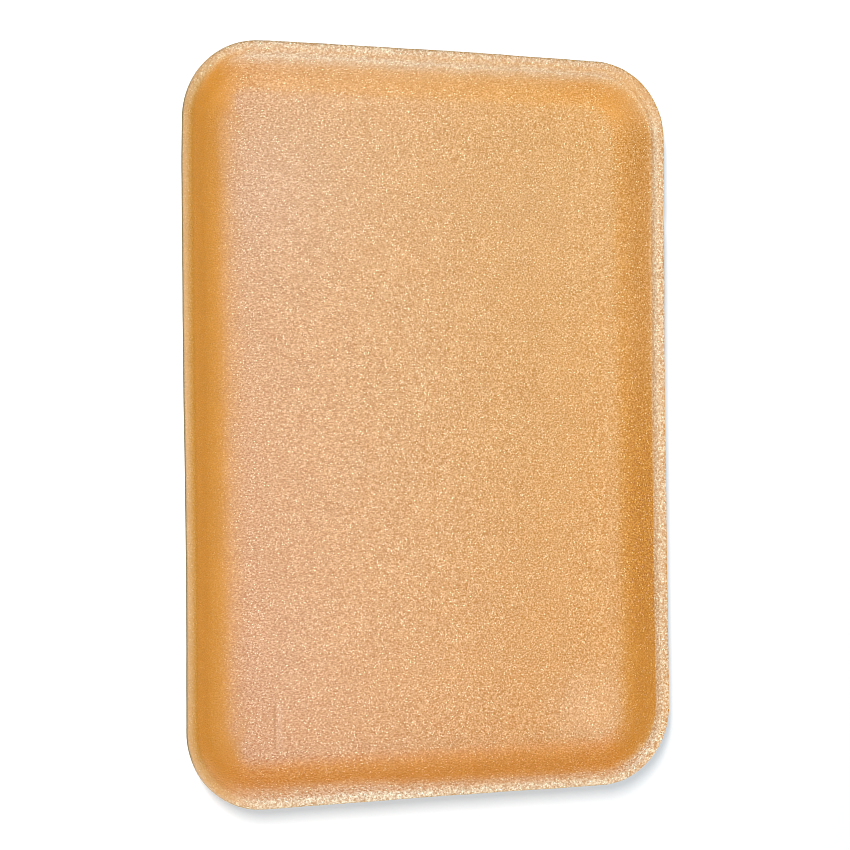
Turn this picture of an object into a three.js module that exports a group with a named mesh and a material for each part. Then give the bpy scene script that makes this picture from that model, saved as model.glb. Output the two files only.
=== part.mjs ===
// A shallow rectangular foam tray: one skin of foam, formed in one piece, with a flat floor, a swept
// wall all round, a narrow ledge high on the wall, and a rounded lip that ends in a thin cut edge.
// Millimetres. It lies on its base with the open side up: X across, Y along, +Z up, origin at the
// centre of the base.
import * as THREE from "three";

// Overall size
const WIDTH = 146.05; // across, at the corners
const LENGTH = 209.55; // along, at the middle of the short sides
const HEIGHT = 12.7;

// Outline of the lip
const CORNER_R = 22; // outer corners; every ring further in keeps the same centres
const LONG_SIDE_BOW = 0.18; // the long sides curve in by this at their middle
const SHORT_SIDE_BOW = 0.11; // the short sides curve out by this at their middle

// Foam
const FLOOR_T = 3.0; // floor and lower wall
const EDGE_T = 1.7; // pressed thinner at the cut edge

// Inside, from the lip down to the floor
const EDGE_ROUND = 0.9; // from the cut edge over to the crest
const CREST_FLAT = 0.9;
const CREST_R = 1.6; // from the crest into the riser
const RISER_DEG = 62;
const RISER_END = 1.6; // depth below the crest where the riser meets the ledge's hollow
const LEDGE_HOLLOW_R = 0.6;
const LEDGE_DEG = 25;
const LEDGE_NOSE_R = 1.5; // from the ledge over into the wall
const WALL_DEG = 50;
const FLOOR_SWEEP_R = 12; // between the wall and the floor

// Outside, from the cut edge down to the base
const UNDER_EDGE_ROUND = 0.4;
const UNDER_LIP_DEG = 68;
const UNDER_LIP_R = 4; // from under the lip into the wall
const BASE_SWEEP_R = FLOOR_SWEEP_R + FLOOR_T; // same centre as the sweep inside

// Steps
const CORNER_STEPS = 12; // a quarter turn of the outline
const LONG_STEPS = 6; // a long side
const SHORT_STEPS = 4; // a short side
const ARC_STEP_DEG = 12; // about this much of a turn for each facet of the section

const rad = THREE.MathUtils.degToRad;

// A path drawn in the section, with x the plan distance in from the lip's outer edge and y the height
// over the crest. It holds a heading, in degrees below level, and lays down points as it goes.
class Section {
  constructor(x, y, heading) {
    this.points = [new THREE.Vector2(x, y)];
    this.heading = heading;
  }
  get end() {
    return this.points[this.points.length - 1];
  }
  // straight on until the given height
  downTo(y) {
    const drop = this.end.y - y;
    this.points.push(new THREE.Vector2(this.end.x + drop / Math.tan(rad(this.heading)), y));
    return this;
  }
  // straight on over the given length
  ahead(length) {
    const a = rad(this.heading);
    this.points.push(new THREE.Vector2(this.end.x + length * Math.cos(a), this.end.y - length * Math.sin(a)));
    return this;
  }
  // along a round of the given radius to a new heading
  turnTo(heading, radius) {
    const from = this.heading;
    const side = Math.sign(heading - from);
    const steps = Math.max(2, Math.round(Math.abs(heading - from) / ARC_STEP_DEG));
    const { x, y } = this.end;
    for (let k = 1; k <= steps; k++) {
      const a = rad(from + ((heading - from) * k) / steps);
      this.points.push(
        new THREE.Vector2(
          x + side * radius * (Math.sin(a) - Math.sin(rad(from))),
          y - side * radius * (Math.cos(rad(from)) - Math.cos(a)),
        ),
      );
    }
    this.heading = heading;
    return this;
  }
}

// Inside: up the round of the cut edge, over the crest, down the riser, across the ledge, down the
// wall and round into the floor.
const floorZ = FLOOR_T - HEIGHT; // the floor's top, from the crest
const sweepRise = FLOOR_SWEEP_R * (1 - Math.cos(rad(WALL_DEG)));
const inside = new Section(0, -EDGE_ROUND, -90)
  .turnTo(0, EDGE_ROUND)
  .ahead(CREST_FLAT)
  .turnTo(RISER_DEG, CREST_R)
  .downTo(-RISER_END)
  .turnTo(LEDGE_DEG, LEDGE_HOLLOW_R)
  .turnTo(WALL_DEG, LEDGE_NOSE_R)
  .downTo(floorZ + sweepRise)
  .turnTo(0, FLOOR_SWEEP_R).points;
const floorEdge = inside[inside.length - 1].x;

// Outside: the lower round of the cut edge, then the underside down to the base. The wall lies
// FLOOR_T outside the inner wall, and its straight ends where the sweep of the base begins.
const baseZ = -HEIGHT;
const sweepTop = new THREE.Vector2(
  floorEdge - BASE_SWEEP_R * Math.sin(rad(WALL_DEG)),
  baseZ + BASE_SWEEP_R * (1 - Math.cos(rad(WALL_DEG))),
);
const outside = new Section(0, -EDGE_T + UNDER_EDGE_ROUND, 90).turnTo(0, UNDER_EDGE_ROUND);
// the straight under the lip is as long as it takes for the round after it to end on the wall's line
const bend = new THREE.Vector2(
  UNDER_LIP_R * (Math.sin(rad(UNDER_LIP_DEG)) - Math.sin(rad(WALL_DEG))),
  -UNDER_LIP_R * (Math.cos(rad(WALL_DEG)) - Math.cos(rad(UNDER_LIP_DEG))),
);
const offLine = (p) => (p.x - sweepTop.x) * Math.sin(rad(WALL_DEG)) + (p.y - sweepTop.y) * Math.cos(rad(WALL_DEG));
const gap = offLine(outside.end.clone().add(bend));
const underLip = -gap / Math.sin(rad(WALL_DEG - UNDER_LIP_DEG));
outside.heading = UNDER_LIP_DEG;
outside
  .ahead(underLip)
  .turnTo(WALL_DEG, UNDER_LIP_R)
  .downTo(sweepTop.y)
  .turnTo(0, BASE_SWEEP_R);

// The whole section, from the middle of the base out, up, over the lip and in to the middle of the
// floor. Points on the axis are marked by no plan distance.
const section = [
  { inset: null, z: 0 },
  ...outside.points.reverse().map((p) => ({ inset: p.x, z: HEIGHT + p.y })),
  ...inside.map((p) => ({ inset: p.x, z: HEIGHT + p.y })),
  { inset: null, z: FLOOR_T },
];

// The outline: stations round a rounded rectangle, each with its foot on the line of corner centres
// and the way out from there, so that a ring at any inset keeps the corner centres.
const halfW = WIDTH / 2;
const halfL = LENGTH / 2 - SHORT_SIDE_BOW;
const cx = halfW - CORNER_R;
const cy = halfL - CORNER_R;
const stations = [];
const corners = [
  { x: cx, y: cy, from: 0, next: SHORT_STEPS },
  { x: -cx, y: cy, from: 90, next: LONG_STEPS },
  { x: -cx, y: -cy, from: 180, next: SHORT_STEPS },
  { x: cx, y: -cy, from: 270, next: LONG_STEPS },
];
corners.forEach((corner, i) => {
  for (let k = 0; k <= CORNER_STEPS; k++) {
    const a = rad(corner.from + (90 * k) / CORNER_STEPS);
    stations.push({ foot: new THREE.Vector2(corner.x, corner.y), out: new THREE.Vector2(Math.cos(a), Math.sin(a)) });
  }
  const after = corners[(i + 1) % corners.length];
  const out = stations[stations.length - 1].out;
  for (let k = 1; k < corner.next; k++) {
    const foot = new THREE.Vector2(corner.x, corner.y).lerp(new THREE.Vector2(after.x, after.y), k / corner.next);
    stations.push({ foot, out: out.clone() });
  }
});

function ringPoint(station, inset, z) {
  const p = station.foot.clone().addScaledVector(station.out, CORNER_R - inset);
  const along = Math.max(0, 1 - (p.y / cy) ** 2);
  const across = Math.max(0, 1 - (p.x / cx) ** 2);
  return new THREE.Vector3(
    p.x - (p.x / halfW) * LONG_SIDE_BOW * along,
    p.y + (p.y / halfL) * SHORT_SIDE_BOW * across,
    z,
  );
}

// The section is swept round as a lathe turns it, then each of its turns is moved out to its station.
function trayGeometry() {
  const profile = section.map((s) => new THREE.Vector2(s.inset === null ? 0 : halfW - s.inset, s.z));
  const geometry = new THREE.LatheGeometry(profile, stations.length);
  const position = geometry.attributes.position;
  for (let i = 0; i <= stations.length; i++) {
    const station = stations[i % stations.length];
    section.forEach(({ inset, z }, j) => {
      const p = inset === null ? new THREE.Vector3(0, 0, z) : ringPoint(station, inset, z);
      position.setXYZ(i * section.length + j, p.x, p.y, p.z);
    });
  }
  geometry.deleteAttribute("uv");
  geometry.computeVertexNormals();
  return geometry;
}

const foam = new THREE.MeshStandardMaterial({ color: 0xd59542, roughness: 0.6, metalness: 0 });

const tray = new THREE.Mesh(trayGeometry(), foam);
tray.name = "tray";

const object = new THREE.Group();
object.add(tray);

export default object;
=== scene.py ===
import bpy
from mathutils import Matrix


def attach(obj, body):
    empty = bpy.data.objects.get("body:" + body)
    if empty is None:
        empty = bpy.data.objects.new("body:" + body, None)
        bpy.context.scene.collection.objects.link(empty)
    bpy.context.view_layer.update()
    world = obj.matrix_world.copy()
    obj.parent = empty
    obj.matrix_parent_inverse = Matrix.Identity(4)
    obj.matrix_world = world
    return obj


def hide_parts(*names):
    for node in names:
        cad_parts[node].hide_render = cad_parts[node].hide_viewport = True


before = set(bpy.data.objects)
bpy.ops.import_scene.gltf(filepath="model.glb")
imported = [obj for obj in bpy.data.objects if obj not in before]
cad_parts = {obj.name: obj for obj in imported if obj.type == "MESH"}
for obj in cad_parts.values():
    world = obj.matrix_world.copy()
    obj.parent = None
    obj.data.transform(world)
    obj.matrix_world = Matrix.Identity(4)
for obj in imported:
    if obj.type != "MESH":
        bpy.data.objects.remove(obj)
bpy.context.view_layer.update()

import math

import bpy
import numpy as np
from mathutils import Matrix, Vector

MM = 0.001
rad = math.radians

# ---------------------------------------------------------------------------------------------
# Sizes, in millimetres: the same section and outline as the frame's solid
# ---------------------------------------------------------------------------------------------
WIDTH, LENGTH, HEIGHT = 146.05, 209.55, 12.7
CORNER_R = 22.0
LONG_SIDE_BOW, SHORT_SIDE_BOW = 0.18, 0.11
FLOOR_T, EDGE_T = 3.0, 1.7
EDGE_ROUND, CREST_FLAT, CREST_R = 0.9, 0.9, 1.6
RISER_DEG, RISER_END = 62.0, 1.6
LEDGE_HOLLOW_R, LEDGE_DEG, LEDGE_NOSE_R = 0.6, 25.0, 1.5
WALL_DEG, FLOOR_SWEEP_R = 50.0, 12.0
UNDER_EDGE_ROUND, UNDER_LIP_DEG, UNDER_LIP_R = 0.4, 68.0, 4.0
BASE_SWEEP_R = FLOOR_SWEEP_R + FLOOR_T

# ---------------------------------------------------------------------------------------------
# The section, as points (distance in from the lip's edge, height under the crest, heading)
# ---------------------------------------------------------------------------------------------
class Section:
    """A path that holds a heading, in degrees below level, and lays down points as it goes."""

    def __init__(self, x, y, heading, step=0.3, turn=6.0):
        self.points = [(x, y, heading)]
        self.heading = heading
        self.step, self.turn = step, turn

    def straight(self, length):
        x, y, _ = self.points[-1]
        a = rad(self.heading)
        n = max(1, int(round(length / self.step)))
        for k in range(1, n + 1):
            d = length * k / n
            self.points.append((x + d * math.cos(a), y - d * math.sin(a), self.heading))
        return self

    def down_to(self, y):
        return self.straight((self.points[-1][1] - y) / math.sin(rad(self.heading)))

    def turn_to(self, heading, radius):
        x, y, _ = self.points[-1]
        start = self.heading
        side = 1.0 if heading > start else -1.0
        n = max(3, int(round(abs(heading - start) / self.turn)))
        n = max(n, int(round(rad(abs(heading - start)) * radius / 0.5)))
        for k in range(1, n + 1):
            h = start + (heading - start) * k / n
            self.points.append(
                (
                    x + side * radius * (math.sin(rad(h)) - math.sin(rad(start))),
                    y - side * radius * (math.cos(rad(start)) - math.cos(rad(h))),
                    h,
                )
            )
        self.heading = heading
        return self


def inside_section():
    rise = FLOOR_SWEEP_R * (1 - math.cos(rad(WALL_DEG)))
    s = Section(0, -EDGE_ROUND, -90.0)
    s.turn_to(0, EDGE_ROUND).straight(CREST_FLAT).turn_to(RISER_DEG, CREST_R).down_to(-RISER_END)
    s.turn_to(LEDGE_DEG, LEDGE_HOLLOW_R).turn_to(WALL_DEG, LEDGE_NOSE_R)
    s.down_to(FLOOR_T - HEIGHT + rise).turn_to(0, FLOOR_SWEEP_R)
    return s.points


def outside_section(floor_edge):
    top = (
        floor_edge - BASE_SWEEP_R * math.sin(rad(WALL_DEG)),
        -HEIGHT + BASE_SWEEP_R * (1 - math.cos(rad(WALL_DEG))),
    )
    s = Section(0, -EDGE_T + UNDER_EDGE_ROUND, 90.0, step=0.6, turn=9.0)
    s.turn_to(0, UNDER_EDGE_ROUND)
    bend = (
        UNDER_LIP_R * (math.sin(rad(UNDER_LIP_DEG)) - math.sin(rad(WALL_DEG))),
        -UNDER_LIP_R * (math.cos(rad(WALL_DEG)) - math.cos(rad(UNDER_LIP_DEG))),
    )
    x, y, _ = s.points[-1]
    off = (x + bend[0] - top[0]) * math.sin(rad(WALL_DEG)) + (y + bend[1] - top[1]) * math.cos(rad(WALL_DEG))
    # the flat under the edge turns straight onto the slope under the lip, with no round between
    s.heading = UNDER_LIP_DEG
    s.straight(off / math.sin(rad(UNDER_LIP_DEG - WALL_DEG)))
    s.turn_to(WALL_DEG, UNDER_LIP_R).down_to(top[1]).turn_to(0, BASE_SWEEP_R)
    return s.points


inside = inside_section()
FLOOR_EDGE = inside[-1][0]
outside = outside_section(FLOOR_EDGE)

# ---------------------------------------------------------------------------------------------
# The outline: stations round the tray, each with its corner centre or side foot and its way out
# ---------------------------------------------------------------------------------------------
HALF_W, HALF_L = WIDTH / 2, LENGTH / 2 - SHORT_SIDE_BOW
CX, CY = HALF_W - CORNER_R, HALF_L - CORNER_R


def stations(corner_steps=26, step=1.5):
    feet, outs = [], []
    corners = [(CX, CY, 0), (-CX, CY, 90), (-CX, -CY, 180), (CX, -CY, 270)]
    for i, (x, y, start) in enumerate(corners):
        for k in range(corner_steps + 1):
            a = rad(start + 90 * k / corner_steps)
            feet.append((x, y))
            outs.append((math.cos(a), math.sin(a)))
        nx, ny, _ = corners[(i + 1) % 4]
        n = int(round(math.hypot(nx - x, ny - y) / step))
        for k in range(1, n):
            feet.append((x + (nx - x) * k / n, y + (ny - y) * k / n))
            outs.append(outs[-1])
    return np.array(feet), np.array(outs)


FEET, OUTS = stations()
N = len(FEET)


def ring(inset):
    """Plan points of one ring, N by 2."""
    p = FEET + OUTS * (CORNER_R - inset)
    along = np.maximum(0, 1 - (p[:, 1] / CY) ** 2)
    across = np.maximum(0, 1 - (p[:, 0] / CX) ** 2)
    q = p.copy()
    q[:, 0] -= p[:, 0] / HALF_W * LONG_SIDE_BOW * along
    q[:, 1] += p[:, 1] / HALF_L * SHORT_SIDE_BOW * across
    return q


# ---------------------------------------------------------------------------------------------
# Smooth noise on arrays of points, the same on every run
# ---------------------------------------------------------------------------------------------
def hashed(ix, iy, iz, seed):
    h = (ix * 374761393 + iy * 668265263 + iz * 2147483647 + seed * 1442695041) & 0xFFFFFFFF
    h = ((h ^ (h >> 13)) * 1274126177) & 0xFFFFFFFF
    h = (h ^ (h >> 16)) & 0xFFFFFFFF
    return h.astype(np.float64) / 4294967295.0 * 2 - 1


def noise(p, size, seed=0):
    """Value noise from about -1 to 1 at points p (n by 3, mm), with features of the given size."""
    q = p / size
    i = np.floor(q).astype(np.int64)
    f = q - i
    f = f * f * f * (f * (f * 6 - 15) + 10)
    out = np.zeros(len(p))
    for dx in (0, 1):
        for dy in (0, 1):
            for dz in (0, 1):
                w = (
                    (f[:, 0] if dx else 1 - f[:, 0])
                    * (f[:, 1] if dy else 1 - f[:, 1])
                    * (f[:, 2] if dz else 1 - f[:, 2])
                )
                out += w * hashed(i[:, 0] + dx, i[:, 1] + dy, i[:, 2] + dz, seed)
    return out


def smooth(lo, hi, x):
    t = np.clip((x - lo) / (hi - lo), 0, 1)
    return t * t * (3 - 2 * t)


# ---------------------------------------------------------------------------------------------
# The tray's mesh
# ---------------------------------------------------------------------------------------------
points, normals, insets, faces_of = [], [], [], []


def add_ring(inset, z, heading, sign):
    """One ring of N points with its normals. heading is the section's, sign +1 inside, -1 outside."""
    xy = ring(inset)
    h = rad(heading)
    n = np.column_stack([-OUTS * math.sin(h), np.full(N, math.cos(h))]) * sign
    points.append(np.column_stack([xy, np.full(N, HEIGHT + z)]))
    normals.append(n)
    insets.append(np.full(N, inset))


FLOOR_RINGS, BASE_RINGS = 44, 16
NICK_Y = 61.0
# the base from its middle out, the outside up, the inside down, the floor in to its middle
for k in range(1, BASE_RINGS + 1):
    t = k / BASE_RINGS
    xy = ring(FLOOR_EDGE) * t
    if k < BASE_RINGS:
        points.append(np.column_stack([xy, np.zeros(N)]))
        normals.append(np.tile([0.0, 0.0, -1.0], (N, 1)))
        insets.append(np.full(N, FLOOR_EDGE + 40 * (1 - t)))
for x, y, h in reversed(outside):
    add_ring(x, y, h, -1)
for x, y, h in inside:
    add_ring(x, y, h, 1)
for k in range(1, FLOOR_RINGS):
    t = 1 - k / FLOOR_RINGS
    xy = ring(FLOOR_EDGE) * t
    points.append(np.column_stack([xy, np.full(N, FLOOR_T)]))
    normals.append(np.tile([0.0, 0.0, 1.0], (N, 1)))
    insets.append(np.full(N, FLOOR_EDGE + 40 * (1 - t)))

RINGS = len(points)
P = np.concatenate(points + [np.array([[0, 0, 0], [0, 0, FLOOR_T]], float)])
NORM = np.concatenate(normals + [np.array([[0, 0, -1], [0, 0, 1]], float)])
INSET = np.concatenate(insets + [np.array([FLOOR_EDGE + 40, FLOOR_EDGE + 40])])
base_mid, floor_mid = RINGS * N, RINGS * N + 1

inner = np.zeros(len(P), bool)  # the open side: inside, crest and floor
n_out = (BASE_RINGS - 1 + len(outside)) * N
inner[n_out : RINGS * N] = True
inner[floor_mid] = True

ring_of = np.arange(RINGS * N).reshape(RINGS, N)
a = ring_of[:-1, :]
b = ring_of[1:, :]
quads = np.stack([a, np.roll(a, -1, 1), np.roll(b, -1, 1), b], -1).reshape(-1, 4)
fan_base = np.stack([np.full(N, base_mid), np.roll(ring_of[0], -1), ring_of[0]], -1)
fan_floor = np.stack([np.full(N, floor_mid), ring_of[-1], np.roll(ring_of[-1], -1)], -1)

# Relief: the sheet is never quite flat or even, and the lip is lumpier than the floor
outer = ring(0)
round_at = np.concatenate([[0], np.cumsum(np.hypot(*np.diff(outer, axis=0).T))])
round_length = round_at[-1] + np.hypot(*(outer[0] - outer[-1]))


def round_the_outline(table, column=1):
    """A value for every point from a table of values at distances round the outline, in millimetres
    from the right side's upper end over the top."""
    at = [row[0] / 673.0 * round_length for row in table]
    values = np.interp(round_at, at, [row[column] for row in table], period=round_length)
    kernel = np.array([1, 2, 3, 4, 3, 2, 1]) / 16
    values = np.convolve(np.concatenate([values[-3:], values, values[:3]]), kernel, "valid")
    return np.concatenate([np.tile(values, RINGS), [0, 0]])


side_x = np.concatenate([np.tile(OUTS[:, 0], RINGS), [0, 0]])
side_y = np.concatenate([np.tile(OUTS[:, 1], RINGS), [0, 0]])
left, right = smooth(0.3, 0.95, -side_x), smooth(0.3, 0.95, side_x)
top, bottom = smooth(0.3, 0.95, side_y), smooth(0.3, 0.95, -side_y)
around = left + right + top + bottom + 1e-6
upper = smooth(-25, 35, P[:, 1])

# the lip's open, whiter cells and its painted sheen on each side: distance in from the edge, how pale, how coarse
ragged = INSET + 0.25 * noise(P, 2.0, 11) + 0.20 * noise(P, 5.0, 12)
LIP_IN = {
    "left": [(0.0, 0.34, 0.6), (0.9, 0.22, 0.5), (1.6, 0.08, 0.3), (2.6, 0.0, 0.15), (3.6, 0.0, 0.0)],
    "right low": [(0.9, 0.54, 1.0), (2.0, 0.56, 1.0), (2.5, 0.72, 1.1), (3.0, 0.72, 1.0), (3.4, 0.54, 0.9), (3.7, 0.44, 0.8), (3.88, 0.12, 0.4), (4.1, 0.0, 0.0)],
    "right high": [(0.9, 0.54, 1.0), (2.0, 0.56, 1.0), (2.6, 0.74, 1.1), (3.2, 0.84, 1.0), (3.5, 0.50, 0.8), (3.9, 0.14, 0.5), (4.5, 0.04, 0.4), (5.4, 0.0, 0.1)],
    "top": [
        (0.9, 0.62, 1.0), (1.8, 0.56, 1.0), (2.4, 0.34, 0.7), (2.9, 0.40, 0.8), (3.5, 0.68, 0.9), (4.2, 0.72, 0.9), (4.9, 0.42, 0.6),
        (6.2, 0.16, 0.4), (8.5, 0.0, 0.1),
    ],
    "bottom": [
        (0.9, 0.68, 1.0), (2.0, 0.70, 1.1), (2.6, 0.54, 0.9), (3.2, 0.46, 0.8), (4.1, 0.34, 0.7), (4.9, 0.13, 0.4),
        (6.0, 0.0, 0.1),
    ],
    "upper left": [
        (0.0, 0.42, 0.8), (1.5, 0.42, 0.85), (1.9, 0.34, 0.7), (2.5, 0.24, 0.5), (3.1, 0.14, 0.35), (3.7, 0.03, 0.2),
        (5.0, 0.0, 0.1),
    ],
    "upper right": [
        (0.0, 0.28, 0.6), (1.6, 0.24, 0.65), (2.2, 0.26, 0.65), (2.8, 0.38, 0.7), (4.2, 0.40, 0.6), (5.0, 0.18, 0.4), (6.0, 0.08, 0.2),
        (8.0, 0.0, 0.0),
    ],
    "lower left": [
        (0.0, 0.50, 0.8), (0.7, 0.40, 0.8), (1.1, 0.16, 0.5), (2.2, 0.16, 0.4), (3.0, 0.15, 0.3), (4.0, 0.09, 0.2),
        (5.2, 0.04, 0.1), (7.0, 0.0, 0.1),
    ],
    "lower right": [
        (0.0, 0.76, 1.1), (0.8, 0.66, 1.2), (1.1, 0.48, 1.2), (1.8, 0.56, 1.2), (2.1, 0.88, 1.3), (2.9, 0.92, 1.3),
        (3.3, 0.66, 1.1), (4.0, 0.48, 0.8), (4.6, 0.22, 0.5), (5.1, 0.05, 0.3), (6.0, 0.0, 0.1),
    ],
}
round_corner = np.minimum(1, 4 * side_x**2 * side_y**2)
corner = {
    "upper left": round_corner * (side_x < 0) * (side_y > 0),
    "upper right": round_corner * (side_x > 0) * (side_y > 0),
    "lower left": round_corner * (side_x < 0) * (side_y < 0),
    "lower right": round_corner * (side_x > 0) * (side_y < 0),
}
side_of = {"left": left, "right low": right * (1 - upper), "right high": right * upper, "top": top, "bottom": bottom}
side_of = {side: weight / around * (1 - round_corner) for side, weight in side_of.items()} | corner
lip_pale_and_sheen, lip = np.zeros(len(P)), np.zeros(len(P))
for side, rows in LIP_IN.items():
    reach = INSET + 0.3 * (ragged - INSET) if side.startswith("right") else ragged
    if side == "bottom":  # wider at its left than at its right
        reach = reach + 0.6 * smooth(-12, 12, P[:, 0]) - 0.7 * (1 - smooth(-28, -8, P[:, 0]))
    at = [row[0] for row in rows]
    lip_pale_and_sheen += side_of[side] * np.interp(reach, at, [row[1] for row in rows])
    lip += side_of[side] * np.interp(reach, at, [row[2] for row in rows])
lip_pale_and_sheen *= np.where(inner, 1.0, 0.0)
lip = np.minimum(lip, 1.0) * np.where(inner, 1.0, 0.0)
from_wall = INSET + 0.5 * noise(P, 3.0, 13)
from_wall += 1.6 * corner["lower right"] - 1.2 * corner["upper left"] - 1.3 * corner["lower left"]
low = right / around * (1 - upper)
floor_zone = smooth(0, 1, (from_wall - 7.5 - 3.3 * left - 0.7 * low) / (6.3 + 2.9 * left - 1.2 * low))

# the ledge is plain high on the right side, and elsewhere it is worn into the slope
section = np.array([(x, y) for x, y, _ in inside])
soft = section.copy()
for k, (x, y) in enumerate(section):
    gap = np.hypot(*(section - (x, y)).T)
    w = np.exp(-((gap / 1.15) ** 2))
    window = smooth(1.0, 2.4, x) * (1 - smooth(5.0, 7.0, x))
    soft[k] += window * ((section * w[:, None]).sum(0) / w.sum() - soft[k])
worn = 1 - 0.85 * right * (0.10 + 0.90 * upper)
shift = np.zeros((len(P), 2))
for k, d in enumerate(soft - section):
    shift[n_out + k * N : n_out + (k + 1) * N] = d

relief = (
    0.10 * noise(P * [1, 1, 0.3], 46.0, 1) * floor_zone
    + 0.30 * (1 - smooth(FLOOR_EDGE - 3, FLOOR_EDGE + 16, INSET)) * smooth(6, 12, INSET)
    + 0.035 * noise(P, 9.0, 2) * (0.4 + 0.6 * lip)
    + 0.050 * noise(P, 2.4, 3) * lip * (1 - 0.7 * left)
) * np.where(inner, 1.0, 0.3)
flat_base = smooth(0.02, 1.2, P[:, 2])  # the base itself stays flat
V = P + NORM * (relief * flat_base)[:, None]
V[:, 0] -= side_x * shift[:, 0] * worn
V[:, 1] -= side_y * shift[:, 0] * worn
V[:, 2] += shift[:, 1] * worn
# the lip's edge wanders a little, in and out and up and down: how far out, in millimetres, at
# distances round the outline that start at the right side's upper end and go over the top
WANDER = [
    (0, 0.14), (9, 0.18), (16, 0.12), (26, -0.17), (34, -0.24), (42, -0.20), (55, -0.07), (67, 0.06), (80, 0.12),
    (117, 0.10), (130, 0.10), (140, -0.05), (151, -0.26), (163, -0.37), (169, -0.30), (182, 0.04), (198, 0.10),
    (230, 0.19), (246, 0.20), (262, 0.00), (278, -0.08), (294, -0.20), (310, -0.14), (326, -0.06), (340, -0.02),
    (351, 0.15), (363, 0.16), (378, 0.08), (391, -0.03), (416, -0.13), (428, -0.19), (441, -0.14), (453, 0.03),
    (466, 0.09), (488, 0.14), (505, 0.04), (518, 0.07), (534, -0.05), (582, 0.00), (598, -0.08), (614, -0.10),
    (630, 0.06), (646, 0.05), (662, 0.14),
]
# one shallow nick in the right side's edge
nick = 0.30 * np.exp(-(((outer[:, 1] - NICK_Y) / 2.6) ** 4)) * (outer[:, 0] > CX)
wander = round_the_outline(WANDER) + 0.03 * noise(P * [1, 1, 0], 5.0, 8)
wander -= np.concatenate([np.tile(nick, RINGS), [0, 0]]) * (1 - smooth(0.4, 1.6, INSET))
out_dir = np.concatenate([np.tile(OUTS, (RINGS, 1)), np.zeros((2, 2))])
edge_zone = 1 - smooth(2.0, 8.0, INSET)
V[:, :2] += out_dir * (wander * edge_zone)[:, None]
V[:, 2] += (0.10 * noise(P * [1, 1, 0], 52.0, 7) - 0.08) * edge_zone * smooth(4.0, 9.0, P[:, 2])

mesh = bpy.data.meshes.new("foam_tray")
n_quads, n_tris = len(quads), len(fan_base) + len(fan_floor)
mesh.vertices.add(len(V))
mesh.vertices.foreach_set("co", (V * MM).ravel())
loops = np.concatenate([quads.ravel(), fan_base.ravel(), fan_floor.ravel()])
mesh.loops.add(len(loops))
mesh.loops.foreach_set("vertex_index", loops)
starts = np.concatenate([np.arange(n_quads) * 4, n_quads * 4 + np.arange(n_tris) * 3])
mesh.polygons.add(n_quads + n_tris)
mesh.polygons.foreach_set("loop_start", starts)
mesh.update(calc_edges=True)
mesh.validate()
mesh.polygons.foreach_set("use_smooth", np.ones(len(mesh.polygons), bool))


def attribute(name, values):
    mesh.attributes.new(name, "FLOAT", "POINT").data.foreach_set("value", values.astype(np.float32))


# how pale and how grainy the lip is round the outline, at distances like those above; the paleness is partly the
# whiter cells and partly painted sheen
LIP_PALE_SHEEN_GRAIN = [
    (0, 0.95, 0.90), (17, 1.0, 0.75), (34, 0.90, 0.80), (60, 0.92, 0.90), (100, 1.10, 1.05), (137, 1.05, 1.00),
    (154, 1.0, 0.80), (171, 0.95, 0.40), (200, 1.0, 0.25), (336, 1.0, 0.25), (354, 1.0, 0.45),
    (371, 1.05, 1.05), (400, 1.26, 1.40), (440, 1.12, 1.30), (473, 1.05, 1.10), (490, 1.0, 1.20), (508, 0.84, 1.05), (530, 0.95, 1.0),
    (560, 0.95, 1.0), (640, 0.95, 1.05),
]
cut_edge = smooth(-0.2, 0.9, INSET + 0.45 * (P[:, 2] - HEIGHT + 0.9))
attribute("lip", lip)
# the cut edge made darker, its own colour and painted shade, less so at the left corners
attribute("cut", (1 - cut_edge) * (1 - 0.6 * corner["upper left"] - 0.75 * corner["lower left"]))
# painted shade: the left edge shows as a thin shaded line, where it faces away from the light
attribute("left_edge_shade", left / around * (1 - smooth(0.0, 0.2, INSET)) * (1 - corner["upper left"] - corner["lower left"]))
attribute("pale", lip_pale_and_sheen * round_the_outline(LIP_PALE_SHEEN_GRAIN, 1))
# the floor's paler skin with painted sheen over it, which goes on up the wall along the top and high on the right; on
# the walls it is painted sheen
top_wall_sheen = top * (1 - smooth(34, 50, P[:, 0])) * smooth(-64, -48, P[:, 0]) + 0.45 * top * smooth(34, 50, P[:, 0])
wall_skin_and_sheen = np.maximum(0.75 * top_wall_sheen + 0.2 * bottom * (1 - round_corner), 0.50 * right * upper)
skin = np.maximum(floor_zone, wall_skin_and_sheen * smooth(1, 3, INSET))
# painted highlights: paler patches towards the floor's corners, in millimetres
for x, y, across, amount in ((-44, 66, 22, 0.33), (-44, -68, 20, 0.13), (44, 62, 22, 0.25), (52, -84, 11, 1.10)):
    skin *= 1 + amount * np.exp(-(((P[:, 0] - x) ** 2 + (P[:, 1] - y) ** 2) / across**2))
attribute("floor", skin * np.where(inner, 1.0, 0.0))
# how strong the grain is: faint on the left wall, strongest over the lip; it follows where the sheen falls, so its
# colour swing is partly painted sheen
low_right = right * (1 - smooth(-75, -40, P[:, 1]))
wall_grain = (0.85 - 0.65 * left - 0.30 * bottom) * (1 - 0.65 * round_corner) * (1 - 0.5 * low_right)
grain = wall_grain + (1.0 - wall_grain) * floor_zone + lip * (round_the_outline(LIP_PALE_SHEEN_GRAIN, 2) - wall_grain)
grain *= 1 + floor_zone * (0.17 * np.exp(-(((P[:, 0] + 5) / 26) ** 2)) - 0.08 * smooth(15, 50, P[:, 0]))
attribute("grain", grain * (0.25 + 0.75 * cut_edge))
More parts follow.
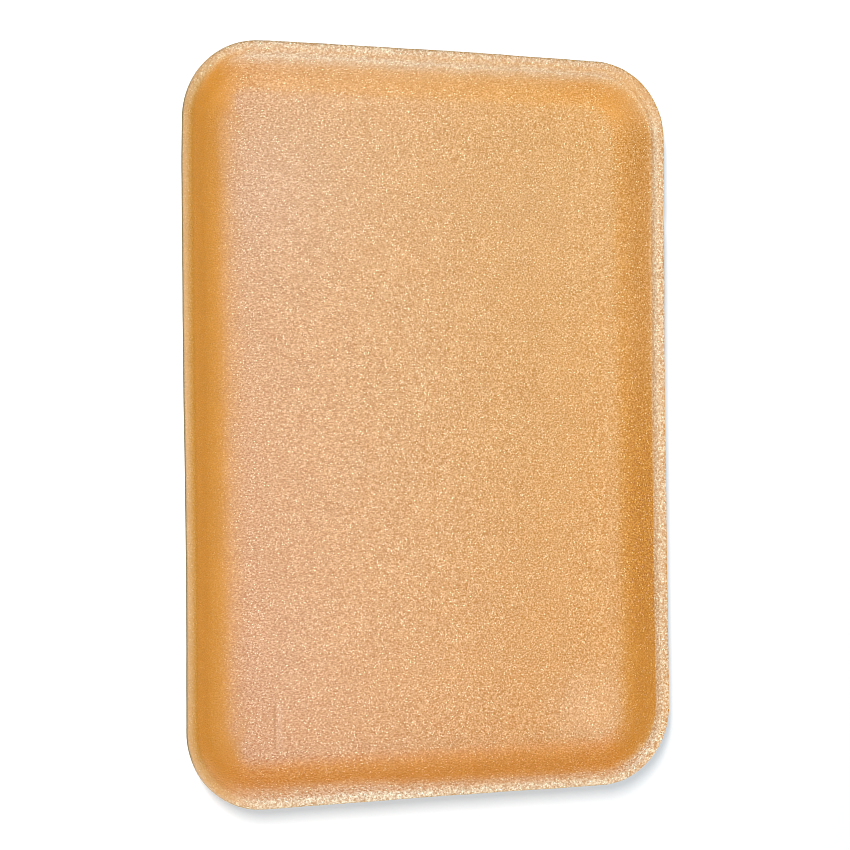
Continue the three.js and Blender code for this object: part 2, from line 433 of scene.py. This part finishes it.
# painted light: warmer towards the right and greener towards the top, rosier towards the lower left, as the light's
# colour changes across the tray; and painted shade, a little darker, in the middle
plain = (1 - 0.9 * lip) * (0.3 + 0.7 * np.minimum(skin, 1))
attribute("rightward", plain * np.clip(P[:, 0] / 60, -1.2, 1.2))
attribute("upward", plain * np.clip(P[:, 1] / 90, -1.2, 1.2))
attribute("middle", np.exp(-((P[:, 0] / 42) ** 2) - (P[:, 1] / 75) ** 2) * np.where(inner, 1.0, 0.0))
# painted light: the walls are made brighter along the top, round the upper corners, on the steep riser at the right
# and, redder, along the bottom; the floor's lower right corner is a painted highlight, and the lower right
# wall is made duller, a painted shade that takes the sheen off it
on_wall = smooth(2.0, 3.0, INSET) * (1 - smooth(10.0, 14.0, INSET)) * np.where(inner, 1.0, 0.0)
on_riser = smooth(1.7, 2.3, INSET) * (1 - smooth(3.0, 3.5, INSET)) * np.where(inner, 1.0, 0.0)
painted_light = (corner["upper right"] + 0.5 * corner["upper left"] + 0.25 * right * upper * (1 - round_corner)) * on_wall
painted_light += 0.45 * top * (1 - round_corner) * on_wall * smooth(5.0, 6.5, INSET)
painted_light += 0.25 * right * (1 - corner["upper right"]) * on_riser
painted_light += 0.7 * np.exp(-(((P[:, 0] - 54) ** 2 + (P[:, 1] + 85) ** 2) / 7.0**2)) * np.where(inner, 1.0, 0.0)
attribute("painted_light", painted_light)
attribute("rosy", bottom / around * on_wall)
attribute("ochre", low * (1 - smooth(8.0, 13.0, INSET)) * smooth(3.6, 4.2, INSET) * np.where(inner, 1.0, 0.0))
# painted shade: the left lip is made duller, as it faces away from the light
attribute("left_lip_shade", left / around * smooth(0.4, 1.0, INSET) * (1 - smooth(2.6, 3.6, INSET)) * np.where(inner, 1.0, 0.0))
attribute("leftward", smooth(45, -65, P[:, 0]))
tray = bpy.data.objects.new("foam_tray", mesh)
bpy.context.scene.collection.objects.link(tray)


# ---------------------------------------------------------------------------------------------
# Material
# ---------------------------------------------------------------------------------------------
GOLDEN = (0.635, 0.272, 0.029, 1)  # the foam's skin on the walls
PALE_AND_SHEEN = (0.785, 0.62, 0.435, 1)  # opened, whiter cells over the lip, with painted sheen on them
# the floor's paler skin and its painted sheen
FLOOR_SKIN_AND_SHEEN = (0.67, 0.41, 0.235, 1)
CUT_EDGE_AND_SHADE = (0.47, 0.35, 0.15, 1)  # the cut edge, darker: the cut foam's own colour and painted shade
LEFT_LIP_SHADE = (0.86, 0.90, 0.74, 1)  # painted shade on the left lip
WALL_TINT = (0.44, 0.33, 0.11)
GRAIN_TINT = (0.42, 0.39, 0.28)  # how far the colour swings between a pit and a ridge: the foam's own grain, with painted shade in the pit and painted sheen on the ridge
LIP_TINT = (0.44, 0.52, 0.44)
GRAIN_HEIGHT = 0.10 * MM


def foam_material():
    m = bpy.data.materials.new("golden_foam")
    m.use_nodes = True
    nt = m.node_tree
    nt.nodes.clear()

    def node(kind, **inputs):
        n = nt.nodes.new(kind)
        for k, v in inputs.items():
            n.inputs[k].default_value = v
        return n

    def link(a, b):
        nt.links.new(a, b)

    def maths(op, a, b=None, c=None, clamp=False):
        n = nt.nodes.new("ShaderNodeMath")
        n.operation = op
        n.use_clamp = clamp
        for i, x in enumerate((a, b, c)):
            if x is None:
                continue
            if isinstance(x, (int, float)):
                n.inputs[i].default_value = x
            else:
                link(x, n.inputs[i])
        return n.outputs[0]

    def spread(value, lo, hi, to_lo, to_hi):
        n = nt.nodes.new("ShaderNodeMapRange")
        for k, v in (("From Min", lo), ("From Max", hi), ("To Min", to_lo), ("To Max", to_hi)):
            n.inputs[k].default_value = v
        link(value, n.inputs["Value"])
        return n.outputs[0]

    def mix(fac, a, b, blend="MIX"):
        n = nt.nodes.new("ShaderNodeMix")
        n.data_type = "RGBA"
        n.blend_type = blend
        for socket, x in ((n.inputs[0], fac), (n.inputs[6], a), (n.inputs[7], b)):
            if isinstance(x, (int, float, tuple)):
                socket.default_value = x
            else:
                link(x, socket)
        return n.outputs[2]

    def mask(name):
        n = node("ShaderNodeAttribute")
        n.attribute_name = name
        return n.outputs["Fac"]

    def vector(op, a, b, c=None):
        n = nt.nodes.new("ShaderNodeVectorMath")
        n.operation = op
        for i, x in enumerate((a, b, c)):
            if x is None:
                continue
            if isinstance(x, tuple):
                n.inputs[i].default_value = x
            else:
                link(x, n.inputs[i])
        return n.outputs[0]

    def scaled(v, amount):
        n = nt.nodes.new("ShaderNodeVectorMath")
        n.operation = "SCALE"
        if isinstance(v, tuple):
            n.inputs[0].default_value = v
        else:
            link(v, n.inputs[0])
        link(amount, n.inputs["Scale"])
        return n.outputs[0]

    out = node("ShaderNodeOutputMaterial")
    bsdf = node("ShaderNodeBsdfPrincipled")
    link(bsdf.outputs[0], out.inputs[0])
    place = node("ShaderNodeTexCoord").outputs["Object"]
    lip, floor, pale, grain, leftward, cut = (
        mask(name) for name in ("lip", "floor", "pale", "grain", "leftward", "cut")
    )

    def ridges(across, along, detail):
        """Short ridges that wind, of the given size in millimetres, from 0 in a pit to 1 on a ridge."""
        n = node("ShaderNodeTexNoise", Scale=1.0, Detail=detail, Roughness=0.6, Distortion=0.4)
        link(vector("MULTIPLY", place, (1 / (across * MM), 1 / (along * MM), 1.3 / (across * MM))), n.inputs["Vector"])
        return maths("POWER", spread(n.outputs["Fac"], 0.30, 0.70, 0.0, 1.0), 1.5)

    def blend(fac, a, b):
        return maths("ADD", a, maths("MULTIPLY", fac, maths("SUBTRACT", b, a)))

    # drawn out across the tray on its left, even on its right, coarser over the lip
    fine = blend(leftward, ridges(0.50, 0.48, 2.0), ridges(0.70, 0.46, 2.0))
    height = blend(lip, fine, ridges(0.72, 0.72, 2.0))

    # glints: here and there one cell catches the light
    cells = node("ShaderNodeTexVoronoi", Scale=1 / (0.42 * MM))
    link(place, cells.inputs["Vector"])
    chosen = spread(cells.outputs["Color"], 0.72, 0.78, 0.0, 1.0)
    glint = maths("MULTIPLY", chosen, spread(cells.outputs["Distance"], 0.20, 0.50, 1.0, 0.0))

    mottle = node("ShaderNodeTexNoise", Scale=1 / (7.0 * MM), Detail=3.0, Roughness=0.55)
    link(place, mottle.inputs["Vector"])

    bump = node("ShaderNodeBump", Strength=1.0, Distance=GRAIN_HEIGHT)
    link(maths("MULTIPLY", height, spread(lip, 0, 1, 1.0, 1.6)), bump.inputs["Height"])
    link(bump.outputs[0], bsdf.inputs["Normal"])

    # colour: golden, paler over the lip and a little on the floor, partly the foam's own colour and partly painted
    # sheen, and darker in the pits, which is painted shade
    # painted sheen: the floor made paler, more so on its left
    colour = mix(maths("MULTIPLY", floor, spread(leftward, 0.0, 1.0, 0.37, 0.61)), GOLDEN, FLOOR_SKIN_AND_SHEEN)
    # the lip made paler: its whiter cells and painted sheen
    colour = mix(pale, colour, PALE_AND_SHEEN)
    # the cut edge: its own colour and painted shade
    colour = mix(cut, colour, CUT_EDGE_AND_SHADE)
    # painted shade on the left lip
    colour = mix(mask("left_lip_shade"), colour, LEFT_LIP_SHADE, "MULTIPLY")
    # painted shade along the left edge
    colour = mix(mask("left_edge_shade"), colour, (0.50, 0.52, 0.50, 1), "MULTIPLY")
    colour = mix(1.0, colour, spread(mottle.outputs["Fac"], 0.3, 0.7, 0.97, 1.03), "MULTIPLY")
    # painted light and shade shift the tone across the tray
    painted_light_drifts = {"rightward": (0.03, 0.05, -0.08), "upward": (0.0, 0.04, 0.02), "middle": (-0.04, -0.02, -0.01)}
    painted_light_drifts |= {"painted_light": (0.14, 0.12, 0.02), "rosy": (0.08, 0.0, 0.0), "ochre": (-0.02, -0.05, -0.40)}
    for name, gain in painted_light_drifts.items():
        painted_drift = scaled(gain, mask(name))
        colour = vector("MULTIPLY_ADD", colour, painted_drift, colour)
    # the grain's colour swing: the foam's own grain with painted shade in the pits and painted sheen on the ridges
    swing = maths("MULTIPLY", grain, maths("SUBTRACT", height, 0.38))
    tint = mix(lip, mix(floor, WALL_TINT + (1,), GRAIN_TINT + (1,)), LIP_TINT + (1,))
    colour = vector("ADD", colour, scaled(tint, swing))
    # painted glints: white added to the colour where a cell catches the light
    colour = vector("ADD", colour, scaled((0.50, 0.52, 0.42), maths("MULTIPLY", grain, glint)))
    # one faint crease in the floor near the lower left corner, drawn in colour only: painted shade in the crease and a
    # painted highlight on the paler strip beside it
    axes = nt.nodes.new("ShaderNodeSeparateXYZ")
    link(place, axes.inputs[0])
    near_middle = spread(
        maths("ABSOLUTE", maths("ADD", axes.outputs["Y"], 83.5 * MM)), 5.0 * MM, 7.5 * MM, 1.0, 0.0
    )
    for x, full, none, amount, tone in (
        (-43.9, 0.5, 1.5, 0.13, (0.85, 0.62, 0.47, 1)),
        (-45.3, 0.15, 0.45, 0.60, (0.46, 0.20, 0.07, 1)),
    ):
        off_line = maths("ABSOLUTE", maths("SUBTRACT", axes.outputs["X"], x * MM))
        line = maths("MULTIPLY", spread(off_line, full * MM, none * MM, 1.0, 0.0), near_middle)
        colour = mix(maths("MULTIPLY", line, amount), colour, tone)
    colour = vector("MAXIMUM", colour, (0.05, 0.02, 0.004))
    colour = vector("MINIMUM", colour, (0.97, 0.95, 0.92))
    link(colour, bsdf.inputs["Base Color"])
    bsdf.inputs["Roughness"].default_value = 0.36
    bsdf.inputs["Specular IOR Level"].default_value = 0.6
    bsdf.inputs["Subsurface Weight"].default_value = 0.0
    return m


mesh.materials.append(foam_material())
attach(tray, "root")
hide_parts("tray")

# ---------------------------------------------------------------------------------------------
# Floor, light and camera
# ---------------------------------------------------------------------------------------------
scene = bpy.context.scene
scene.view_settings.view_transform = "Standard"
scene.view_settings.look = "None"
scene.cycles.filter_width = 1.0

floor_mesh = bpy.data.meshes.new("pale_floor")
# the floor is open under the middle of the tray's base, so the two never lie in the same plane there
around_base = [(x * sx, y * sy, 0) for x, y in ((3, 3), (0.056, 0.087)) for sx, sy in ((-1, -1), (1, -1), (1, 1), (-1, 1))]
floor_mesh.from_pydata(around_base, [], [(k, (k + 1) % 4, 4 + (k + 1) % 4, 4 + k) for k in range(4)])
pale_floor = bpy.data.objects.new("pale_floor", floor_mesh)
scene.collection.objects.link(pale_floor)
fm = bpy.data.materials.new("pale_floor")
fm.use_nodes = True
fb = fm.node_tree.nodes["Principled BSDF"]
fb.inputs["Base Color"].default_value = (0.6, 0.6, 0.6, 1)
fb.inputs["Roughness"].default_value = 1.0
fb.inputs["Specular IOR Level"].default_value = 0.0
fb.inputs["Emission Color"].default_value = (0.79, 0.91, 1.0, 1)
fb.inputs["Emission Strength"].default_value = 0.46
floor_mesh.materials.append(fm)

world = bpy.data.worlds.new("studio")
scene.world = world
world.use_nodes = True
world.node_tree.nodes["Background"].inputs[0].default_value = (1, 1, 1, 1)
world.node_tree.nodes["Background"].inputs[1].default_value = 0.395

lit = {}
for group, thing in (("tray_lights", tray), ("floor_lights", pale_floor)):
    lit[group] = bpy.data.collections.new(group)
    lit[group].objects.link(thing)


def area(name, place, target, size, energy, group, along=(1, 0, 0)):
    """A soft panel in millimetres and watts that lights one group of things, its first side along a line."""
    data = bpy.data.lights.new(name, "AREA")
    data.shape = "RECTANGLE"
    data.size, data.size_y = size[0] * MM, size[1] * MM
    data.energy = energy
    o = bpy.data.objects.new(name, data)
    o.location = Vector(place) * MM
    z = (Vector(place) - Vector(target)).normalized()
    x = (Vector(along) - Vector(along).dot(z) * z).normalized()
    o.rotation_euler = Matrix((x, z.cross(x), z)).transposed().to_euler()
    o.visible_camera = False
    o.light_linking.receiver_collection = lit[group]
    scene.collection.objects.link(o)
    return o


area("overhead", (0, 0, 600), (0, 0, 0), (300, 300), 0.068, "tray_lights")
area("front_high", (0, -280, 520), (0, 0, 0), (500, 160), 0.25, "tray_lights")
area("front_low", (0, -450, 160), (0, 0, 0), (500, 120), 0.165, "tray_lights")
area("front_right", (260, -340, 220), (0, 0, 0), (200, 120), 0.32, "tray_lights")
area("front_left", (-260, -340, 220), (0, 0, 0), (200, 120), 0.18, "tray_lights")
area("left_low", (-450, 0, 160), (0, 0, 0), (500, 120), 0.20, "tray_lights", (0, 1, 0))
area("right_high", (280, 0, 520), (0, 0, 0), (500, 160), 0.27, "tray_lights", (0, 1, 0))
area("upper_right", (150, 220, 300), (50, 70, 0), (120, 120), 0.20, "tray_lights")
area("near_left", (-60, 20, 320), (-60, 20, 0), (70, 200), 0.083, "tray_lights")
area("near_right", (46, 20, 320), (46, 20, 0), (70, 200), 0.025, "tray_lights")
area("low_left", (-170, 20, 130), (-40, 20, 0), (200, 60), 0.085, "tray_lights", (0, 1, 0))
area("low_right", (170, 20, 130), (50, 20, 0), (200, 60), 0.021, "tray_lights", (0, 1, 0))
area("sheen_wide", (150, 0, 560), (-30, 0, 0), (120, 300), 0.282, "tray_lights")
area("sheen_narrow", (110, 0, 560), (-50, 0, 0), (60, 300), 0.386, "tray_lights")
shadow = area("shadow", (-490, 300, 960), (0, 0, 0), (110, 340), 12.8, "floor_lights", (1, 0, 0))
shadow.data.color = (1.0, 0.94, 0.89)

# The camera of the photograph, from a fit to the tray's outline: turned about the vertical, tipped
# and rolled, with its distance and the tray's shift across, in millimetres from the crest's middle
YAW, PITCH, ROLL = rad(22.2110), rad(-0.4232), rad(-0.5402)
FOCAL_PX, SHIFT_X, SHIFT_Y, DISTANCE = 2302.05, 3.2386, -0.5198, 645.048
cy_, sy_ = math.cos(YAW), math.sin(YAW)
cp_, sp_ = math.cos(PITCH), math.sin(PITCH)
cr_, sr_ = math.cos(ROLL), math.sin(ROLL)
turn = (
    Matrix(((cr_, -sr_, 0), (sr_, cr_, 0), (0, 0, 1)))
    @ Matrix(((1, 0, 0), (0, cp_, -sp_), (0, sp_, cp_)))
    @ Matrix(((cy_, 0, -sy_), (0, 1, 0), (sy_, 0, cy_)))
    @ Matrix(((1, 0, 0), (0, -1, 0), (0, 0, -1)))
)
back = turn.transposed()
centre = -(back @ Vector((SHIFT_X, SHIFT_Y, DISTANCE))) + Vector((0, 0, HEIGHT))
cam_data = bpy.data.cameras.new("camera")
cam_data.lens = FOCAL_PX * 36 / 850
cam_data.sensor_width = 36
cam_data.clip_start, cam_data.clip_end = 0.01, 10
camera = bpy.data.objects.new("camera", cam_data)
axes = back @ Matrix(((1, 0, 0), (0, -1, 0), (0, 0, -1)))
camera.matrix_world = Matrix.Translation(centre * MM) @ axes.to_4x4()
scene.collection.objects.link(camera)
scene.camera = camera

# The picture is sharpened a little, as a camera does
scene.use_nodes = True
tree = scene.node_tree
tree.nodes.clear()
layers = tree.nodes.new("CompositorNodeRLayers")
sharpen = tree.nodes.new("CompositorNodeFilter")
sharpen.filter_type = "SHARPEN"
sharpen.inputs["Fac"].default_value = 0.04
final = tree.nodes.new("CompositorNodeComposite")
tree.links.new(layers.outputs["Image"], sharpen.inputs["Image"])
tree.links.new(sharpen.outputs["Image"], final.inputs["Image"])
